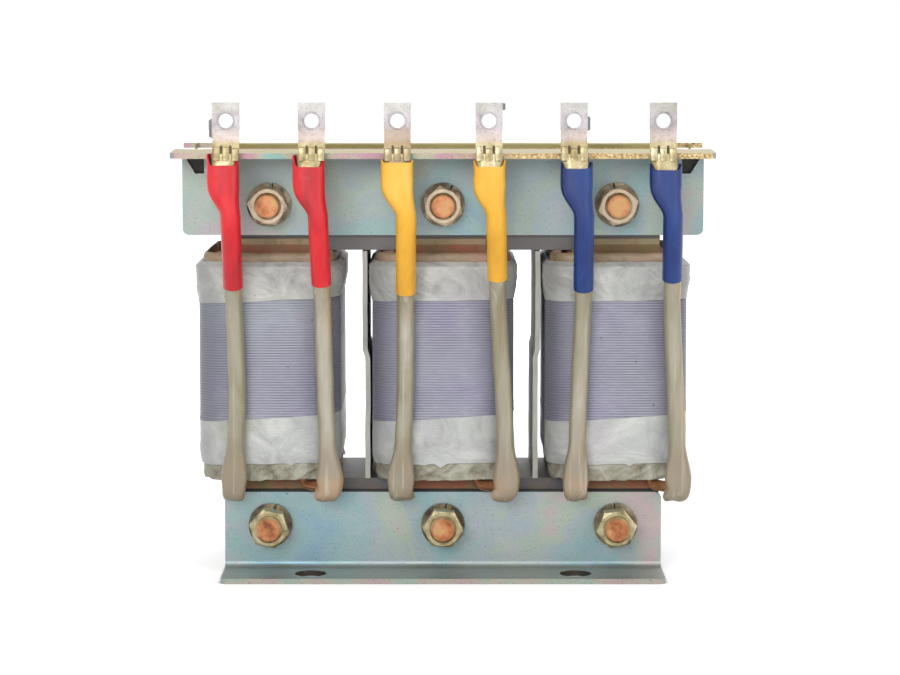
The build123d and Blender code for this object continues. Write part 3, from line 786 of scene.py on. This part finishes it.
def wrap(name, slot, coil, rows, edges, build, inner, node):
    """A closed ring round a coil, in place of a node of the model.

    edges gives its two heights at a place, and build how far its outer face lies outside the leg there.
    """
    centre = COIL_CENTRES[coil]
    rings = []
    heights = [edges(x, y) for x, y, _, _ in COIL_LOOP]
    for row in range(rows + 1):
        share = row / rows
        ring = []
        for (x, y, out_x, out_y), (low, high) in zip(COIL_LOOP, heights):
            z = low + (high - low) * share
            out = build(x, y, z, share) - tuck(out_x, out_y, z) - BAND_BUILD
            ring.append((centre + x + out_x * out, y + out_y * out, z))
        rings.append(ring)
    for end in (1, 0):
        ring = []
        for (x, y, out_x, out_y), height in zip(COIL_LOOP, heights):
            out = inner - tuck(out_x, out_y, height[end]) - BAND_BUILD
            ring.append((centre + x + out_x * out, y + out_y * out, height[end]))
        rings.append(ring)
    points, faces = joined_rings(rings, closed=True)
    make_piece(name + "_" + coil, slot, points, faces, [node + "_" + coil])


def band_edge(x):
    """The slanted edge where the ribbed band meets the bottom tape."""
    return BAND_BOTTOM + BAND_SLANT * x


def tape_edge(coil, x, y):
    """The lower edge of the bottom tape, a little torn on the front."""
    edge = TAPE_BOTTOM + 0.022 * x + 0.35 * wander(x, y, 0.0, 7.0, COIL_SEEDS[coil])
    if y < 0.0:
        for place, width, drop in TAPE_TIPS[coil]:
            edge -= drop * math.exp(-((x - place) / width) ** 2)
    return edge


def top_tape(coil):
    """The creased tape above the band, drawn in at its upper edge."""
    seed = COIL_SEEDS[coil]

    def edges(x, y):
        low = BAND_TOP + TAPE_CLIMB[coil] * x / HALF_LEG * 0.6 + 0.35 * wander(x, y, 0.0, 11.0, seed)
        return low, TAPE_TOP + 0.25 * wander(x, y, 9.0, 5.0, seed)

    def build(x, y, z, share):
        bulge = 0.15 + 1.0 * smooth(share, 0.0, 0.55) - 2.3 * smooth(share, 0.86, 1.02)
        fold = 0.32 * creases(x, y, z, seed, -0.6, 3.4) + 0.18 * wander(x, y, z, 6.0, seed)
        return min(BAND_BUILD + bulge + fold * smooth(share, 0.0, 0.2), BAND_BUILD + END_BULGE)

    wrap("top_tape", "pearl_tape", coil, 46, edges, build, PAPER_BUILD, "end_tapes")


def bottom_tape(coil):
    """The tape below the band, which shows the turns' ribs near the band and folds lower down."""
    seed = COIL_SEEDS[coil] + 5.0

    def edges(x, y):
        return tape_edge(coil, x, y), band_edge(x) - 0.05

    def build(x, y, z, share):
        rib = 0.05 * abs(math.sin(math.pi * z / RIB_PITCH)) * smooth(share, 0.15, 0.5)
        fold = 0.38 * creases(x, y, z, seed, -0.8, 3.8) * smooth(share, 0.85, 0.45)
        sag = 0.25 * wander(x, y, z, 9.0, seed) * smooth(share, 1.0, 0.6)
        return BAND_BUILD - 0.25 + rib + fold * smooth(share, 0.0, 0.12) * 0.6 + sag

    wrap("bottom_tape", "pearl_tape", coil, 84, edges, build, PAPER_BUILD, "end_tapes")


def middle_band(coil):
    """The ribbed band, with the edges of its last turns a little apart above the bottom tape."""
    seed = COIL_SEEDS[coil] + 11.0

    def edges(x, y):
        return band_edge(x), BAND_TOP + 2.0

    def build(x, y, z, share):
        rise = z - band_edge(x)
        rib = 0.20 * abs(math.sin(math.pi * z / RIB_PITCH)) ** 0.7
        turns = 0.10 * (smooth(rise, 1.5, 1.2) + smooth(rise, 3.6 + 0.05 * x, 3.3 + 0.05 * x))
        under_tape = 0.6 * smooth(z, BAND_TOP - 0.5, BAND_TOP + 1.5)
        return BAND_BUILD - 0.37 + rib + turns + 0.07 * wander(x, y, z, 9.0, seed) - under_tape

    wrap("ribbed_band", "lavender_tape", coil, 230, edges, build, PAPER_BUILD, "middle_band")


def skirt(coil):
    """The creased paper that shows below the bottom tape."""
    seed = COIL_SEEDS[coil] + 2.0

    def edges(x, y):
        low = SKIRT_BOTTOM + 1.5 * max(0.0, wander(x, y, 0.0, 6.0, seed)) + 0.03 * max(0.0, x)
        return low, tape_edge(coil, x, y) + 1.2

    def build(x, y, z, share):
        fold = 0.75 * creases(x, y, z, seed, 0.5, 4.6) + 0.35 * wander(x, y, z, 5.0, seed)
        return PAPER_BUILD + 0.75 + fold * smooth(share, 1.0, 0.55)

    wrap("folded_skirt", "skirt_paper", coil, 30, edges, build, WINDING_BUILD + 0.1, "paper_skirt")


def layer_paper_ring(coil):
    """The paper under the tapes, whose chamfered rim shows above them."""
    seed = COIL_SEEDS[coil] + 7.0

    def edges(x, y):
        return 62.0, LAYER_TOP + 0.4 * min(0.0, wander(x, y, 0.0, 8.0, seed))

    def build(x, y, z, share):
        rim = 1.1 * smooth(z, LAYER_TOP - 1.6, LAYER_TOP)
        return PAPER_BUILD - 0.15 - rim + 0.15 * wander(x, y, z, 6.0, seed)

    wrap("paper_layers", "layer_paper", coil, 90, edges, build, WINDING_BUILD, "layer_insulation")


# Leads

def rounded_path(corners, cuts, spacing):
    """The route as points about spacing apart, with a curve in place of each corner, as long as its cut."""
    dense = [corners[0]]
    for before, corner, after, cut in zip(corners, corners[1:], corners[2:], cuts):
        start = corner + (before - corner).normalized() * cut
        end = corner + (after - corner).normalized() * cut
        for step in range(9):
            share = step / 8.0
            dense.append(start * (1.0 - share) ** 2 + corner * 2.0 * share * (1.0 - share) + end * share ** 2)
    dense.append(corners[-1])
    path = [dense[0]]
    for first, second in zip(dense, dense[1:]):
        steps = max(1, round((second - first).length / spacing))
        if (second - first).length > 0.05:
            path += [first.lerp(second, (step + 1) / steps) for step in range(steps)]
    return path


def tube_rings(path, section, sides):
    """Rings round a path. section gives the half width, half depth and swell at a point and an angle."""
    rings = []
    for index, point in enumerate(path):
        ahead = path[min(index + 1, len(path) - 1)]
        behind = path[max(index - 1, 0)]
        tangent = (ahead - behind).normalized()
        across = (Vector((1.0, 0.0, 0.0)) - tangent * tangent.x).normalized()
        front = across.cross(tangent)
        ring = []
        for side in range(sides):
            angle = 2.0 * math.pi * side / sides
            half_width, half_depth, swell = section(point, angle)
            offset = across * half_width * math.cos(angle) - front * half_depth * math.sin(angle)
            ring.append(point + offset * swell)
        rings.append(ring)
    return rings


def sleeve(lead):
    """A woven sleeve, a little crooked, that flattens towards its foot and is cut square there."""
    seed = 2.3 * list(LEAD_ROUTES).index(lead) + 1.0
    entry_x = COIL_CENTRES[lead_coil(lead)] + lead_side(lead) * (HALF_LEG - ENTRY_INSET)
    foot = Vector((lead_x(lead, FOOT), -RUN_DEPTH, FOOT_HEIGHT))
    entry = Vector((entry_x, -ENTRY_DEPTH, FOOT_HEIGHT))
    corners = [
        foot + (entry - foot).normalized() * ENTRY_LENGTH,
        foot,
        Vector((lead_x(lead, KNEE), -RUN_DEPTH, KNEE_HEIGHT)),
        Vector((lead_x(lead, SHOULDER), -SHOULDER_DEPTH, SHOULDER_HEIGHT)),
        Vector((lead_x(lead, NECK), -LUG_DEPTH, NECK_HEIGHT)),
        Vector((lead_x(lead, NECK), -LUG_DEPTH, SLEEVE_TOP)),
    ]
    path = rounded_path(corners, (4.5, 12.0, 8.0, 3.0), 0.8)

    def section(point, angle):
        flare = smooth(62.0 - point.z, 0.0, 17.0)
        waist = 0.8 * smooth(46.0 - point.z, 0.0, 8.0)
        half_width = SLEEVE_RADIUS + (FOLD_HALF[0] - SLEEVE_RADIUS) * flare - waist
        half_depth = SLEEVE_RADIUS + (FOLD_HALF[1] - SLEEVE_RADIUS) * flare
        square = (math.cos(angle) ** 4 + math.sin(angle) ** 4) ** -0.25
        dent = wander(6.0 * math.cos(angle), 6.0 * math.sin(angle), point.z / 2.6, 4.0, seed)
        fold = math.sin(3.0 * angle + seed + point.z / 11.0)
        swell = 1.0 + 0.05 * dent + flare * (0.7 * (square - 1.0) + 0.07 * dent + 0.05 * fold)
        return half_width, half_depth, min(swell, 1.16 if flare > 0.3 else 1.07)

    rings = tube_rings(path, section, 48)
    for ring in rings:
        for point in ring:
            point.z = max(point.z, FOOT_CUT)
    points, faces = joined_rings(rings, closed=False)
    make_piece("woven_sleeve_" + lead, "cream_sleeve", points, faces, ["lead_sleeve_" + lead])


def shrink(lead):
    """A heat-shrink tube that swells from the sleeve to the lug's flat barrel, with an uneven upper edge."""
    seed = 3.1 * list(LEAD_ROUTES).index(lead) + 2.0
    rise = LEAD_ROUTES[lead][TUBE_START] / (NECK_HEIGHT - SHOULDER_HEIGHT)
    shoulder = Vector((lead_x(lead, SHOULDER), -SHOULDER_DEPTH, SHOULDER_HEIGHT))
    neck = Vector((lead_x(lead, NECK), -LUG_DEPTH, NECK_HEIGHT))
    side_top, middle_top = SHRINK_TOPS[lead]
    path = rounded_path([shoulder.lerp(neck, rise), neck, Vector((neck.x, neck.y, side_top))], (6.0,), 0.7)
    for point in path:
        to_barrel = smooth(point.z, SHRINK_NECK - 3.0, SHRINK_SHOULDER + 1.0)
        point.x += (lead_x(lead, BARREL) - neck.x) * to_barrel

    def form(wall):
        def section(point, angle):
            flat = smooth(point.z, SHRINK_NECK - 1.0, SHRINK_SHOULDER)
            half_width = SHRINK_RADIUS + (SHRINK_HALF[0] - SHRINK_RADIUS) * flat - wall
            half_depth = SHRINK_RADIUS + (SHRINK_HALF[1] - SHRINK_RADIUS) * flat - wall
            square = 1.0 + 0.10 * flat * math.sin(2.0 * angle) ** 2
            lump = wander(5.0 * math.cos(angle), 5.0 * math.sin(angle), point.z / 2.2, 3.4, seed)
            return half_width, half_depth, square * (1.0 + (0.018 + 0.03 * flat) * min(lump, 0.0))
        return section

    outer = tube_rings(path, form(0.0), 48)
    inner = tube_rings(path, form(SHRINK_WALL), 48)
    for rings in (outer, inner):
        for ring in rings:
            for index, point in enumerate(ring):
                angle = 2.0 * math.pi * index / len(ring)
                dip = smooth(-math.sin(angle), 0.25, 0.8) * (side_top - middle_top)
                ragged = 0.25 * wander(4.0 * math.cos(angle), 4.0 * math.sin(angle), 0.0, 2.5, seed)
                above = smooth(point.z, SHRINK_SHOULDER, side_top)
                point.z += above * (ragged - dip)
    # The bore is only as deep as it shows from above
    rings = [inner[0]] + outer + [inner[-1], inner[-9]]
    points, faces = joined_rings(rings, closed=False)
    make_piece("shrunk_tube_" + lead, SHRINK_SLOTS[lead_coil(lead)], points, faces, ["heat_shrink_" + lead])


def crimp_tongue(x, place, seed):
    """One tongue of a crimp, a flat bar with round edges that leans back towards its upper end."""
    top = TONGUE_TOP + 0.8 * wander(place, 0.0, 0.0, 3.0, seed)
    rings = []
    for step in range(13):
        share = step / 12.0
        z = TONGUE_BOTTOM + (top - TONGUE_BOTTOM) * share
        slope = 3.45 - 2.2 * smooth(z, 187.5, 196.0)
        end = math.sqrt(max(0.02, 1.0 - (2.0 * share - 1.0) ** 14))
        ring = []
        for side in range(16):
            angle = 2.0 * math.pi * side / 16
            across = math.copysign(abs(math.cos(angle)) ** 0.45, math.cos(angle))
            out = math.copysign(abs(math.sin(angle)) ** 0.45, math.sin(angle))
            y = 0.75 - LUG_DEPTH - slope - 1.25 * end * out
            ring.append((x + place + 1.72 * end * across, y, z))
        rings.append(ring)
    return joined_rings(rings, closed=False)


def hole_burr(x):
    """The raised ring round the hole of a palm."""
    rings = []
    for step in range(48):
        angle = 2.0 * math.pi * step / 48
        ring = []
        for side in range(8):
            turn = 2.0 * math.pi * side / 8
            radius = 3.72 + 0.34 * math.cos(turn)
            y = -LUG_DEPTH - PALM_HALF - 0.20 * math.sin(turn)
            ring.append((x + radius * math.cos(angle), y, PALM_HOLE_HEIGHT + radius * math.sin(angle)))
        rings.append(ring)
    return joined_rings(rings, closed=True)


def side_tab(x, side, width, low, high, bevel):
    """A bevelled tab on one side of a palm."""
    edge = x + side * (PALM_WIDTH / 2.0 - 0.3)
    tip = x + side * (PALM_WIDTH / 2.0 + width)
    outline = [(edge, low), (tip, low + bevel), (tip, high - bevel), (edge, high)]
    front = -LUG_DEPTH - PALM_HALF + 0.3
    rings = [[(across, y, z) for across, z in outline] for y in (front, front + 2.4)]
    return joined_rings(rings, closed=False)


def lug_relief(lead):
    """The crimp's three tongues, the burr round the palm's hole, and the tab that some lugs keep."""
    seed = 1.9 * list(LEAD_ROUTES).index(lead)
    palm = lead_x(lead, LUG)
    forms = [crimp_tongue(palm, place, seed) for place in (-TONGUE_PITCH, 0.0, TONGUE_PITCH)]
    forms.append(hole_burr(palm))
    if lead in LUG_TABS:
        forms.append(side_tab(palm, *LUG_TABS[lead]))
    make_piece("lug_relief_" + lead, "tinned_copper", *merged(forms))


def barrier_board_form(coil, shift):
    """The board on the left of a coil, bent sideways by shift where it was pushed in."""
    steps = 60
    bottom, top = BOARD_HEIGHTS
    left = COIL_CENTRES[coil] - HALF_LEG - BAND_BUILD - END_BULGE - BOARD_FIT - BOARD_THICKNESS
    rings = []
    for step in range(steps + 1):
        z = bottom + (top - bottom) * step / steps
        lean = shift * smooth(103.0 - z, 0.0, 5.0) + 0.25 * wander(left, 0.0, z, 14.0, 4.0)
        low_x = left + lean
        high_x = low_x + BOARD_THICKNESS - 0.2
        front = -BOARD_HALF_DEPTH + 0.2 * wander(left, 9.0, z, 2.5, 8.0)
        back = BOARD_HALF_DEPTH
        rings.append([(low_x, front, z), (high_x, front, z), (high_x, back, z), (low_x, back, z)])
    return joined_rings(rings, closed=False)


def barrier_boards():
    forms = [barrier_board_form("middle", 1.2), barrier_board_form("right", -1.1)]
    make_piece("bent_boards", "barrier_board", *merged(forms), ["barrier_sheets"])


def thread(x, z):
    """The crests of the thread round one bolt's end."""
    steps = 28
    rings = []
    for step in range(steps + 1):
        y = -THREAD_START - THREAD_LENGTH * step / steps
        crest = abs(math.sin(math.pi * THREAD_CRESTS * step / steps))
        radius = THREAD_ROOT + THREAD_RISE * crest
        ring = []
        for side in range(48):
            angle = 2.0 * math.pi * side / 48
            ring.append((x + radius * math.cos(angle), y, z + radius * math.sin(angle)))
        rings.append(ring)
    return joined_rings(rings, closed=False)


def bolt_threads():
    forms = [thread(x, z) for x in COIL_CENTRES.values() for z in BOLT_HEIGHTS]
    make_piece("bolt_threads", "bolt_steel", *merged(forms))


# Light, ground and camera

def area_lamp(name, place, size, power):
    """A lamp that faces the middle of the object."""
    data = bpy.data.lights.new(name, "AREA")
    data.shape = "RECTANGLE"
    data.size, data.size_y = size
    data.energy = power
    lamp = bpy.data.objects.new(name, data)
    lamp.location = place
    lamp.rotation_mode = "QUATERNION"
    middle = Vector((0.0, 0.0, 0.1))
    lamp.rotation_quaternion = (middle - Vector(place)).to_track_quat("-Z", "Y")
    bpy.context.collection.objects.link(lamp)


def shows_backdrop(tree):
    """1 for the rays that should meet a white backdrop: those of the camera, of gloss and of transmission."""
    path = tree.nodes.new("ShaderNodeLightPath")
    seen = path.outputs["Is Camera Ray"]
    for kind in ("Is Glossy Ray", "Is Transmission Ray"):
        node = tree.nodes.new("ShaderNodeMath")
        node.operation = "MAXIMUM"
        tree.links.new(seen, node.inputs[0])
        tree.links.new(path.outputs[kind], node.inputs[1])
        seen = node.outputs[0]
    return seen


def white_ground():
    """A floor that the camera sees as white, apart from the shadow on it. It doesn't glow under the feet."""
    m = Nodes("white_ground")
    grain = m.noise(40.0, 3.0, 0.5)
    m.colour(m.ramp(grain, (0.3, (0.78, 0.78, 0.78)), (0.7, (0.80, 0.80, 0.80))))
    m.set(Roughness=0.9)
    away = m.step(m.reach(m.axis("X"), m.axis("Y")), 0.2, 0.9)
    glow_strength = m.math("MULTIPLY_ADD", away, 0.5, 0.5)
    outside_feet = m.math("MAXIMUM", m.step(m.math("ABSOLUTE", m.axis("Y")), 0.0600, 0.0610),
                          m.step(m.math("ABSOLUTE", m.axis("X")), 0.1000, 0.1020))
    glow_strength = m.math("MULTIPLY", glow_strength, outside_feet)
    glow = m.tree.nodes.new("ShaderNodeEmission")
    m.feed(m.math("MULTIPLY", shows_backdrop(m.tree), glow_strength), glow.inputs["Strength"])
    add = m.tree.nodes.new("ShaderNodeAddShader")
    m.link(m.shader.outputs[0], add.inputs[0])
    m.link(glow.outputs[0], add.inputs[1])
    m.link(add.outputs[0], m.output.inputs[0])
    mesh = bpy.data.meshes.new("ground")
    half = 6.0
    corners = [(-half, -half, 0), (half, -half, 0), (half, half, 0), (-half, half, 0)]
    mesh.from_pydata(corners, [], [(0, 1, 2, 3)])
    ground = bpy.data.objects.new("ground", mesh)
    ground.data.materials.append(m.material)
    bpy.context.collection.objects.link(ground)


def world_light():
    world = bpy.data.worlds.new("studio")
    bpy.context.scene.world = world
    world.use_nodes = True
    tree = world.node_tree
    background = tree.nodes["Background"]
    strength = tree.nodes.new("ShaderNodeMapRange")
    strength.inputs["To Min"].default_value = 0.55
    strength.inputs["To Max"].default_value = 1.0
    tree.links.new(shows_backdrop(tree), strength.inputs["Value"])
    tree.links.new(strength.outputs[0], background.inputs["Strength"])
    background.inputs["Color"].default_value = (1.0, 1.0, 1.0, 1.0)


def camera():
    """A long lens from the front, a little above the lugs and looking slightly down."""
    picture_width = 900
    focal_px = 2681.0
    data = bpy.data.cameras.new("camera")
    data.sensor_width = 36.0
    data.lens = focal_px / picture_width * data.sensor_width
    data.shift_x = 0.0078
    data.shift_y = -0.10
    data.clip_start = 0.05
    data.clip_end = 50.0
    eye = bpy.data.objects.new("camera", data)
    eye.location = (0.0, -1.2499, 0.2437)
    eye.rotation_euler = (math.radians(90.0 - 4.434), 0.0, 0.0)
    bpy.context.collection.objects.link(eye)
    bpy.context.scene.camera = eye


bpy.context.scene.view_settings.view_transform = "Standard"
camera()
world_light()
white_ground()
area_lamp("key", (-0.5, -1.9, 0.8), (1.1, 0.8), 18.5)
area_lamp("fill", (1.2, -1.4, 0.6), (1.0, 1.0), 6.0)
area_lamp("back", (0.3, 1.5, 1.2), (1.4, 0.8), 8.0)
dress_nodes()
for coil_name in COIL_CENTRES:
    top_tape(coil_name)
    middle_band(coil_name)
    bottom_tape(coil_name)
    skirt(coil_name)
    layer_paper_ring(coil_name)
for lead_name in LEAD_ROUTES:
    sleeve(lead_name)
    shrink(lead_name)
    lug_relief(lead_name)
barrier_boards()
bolt_threads()
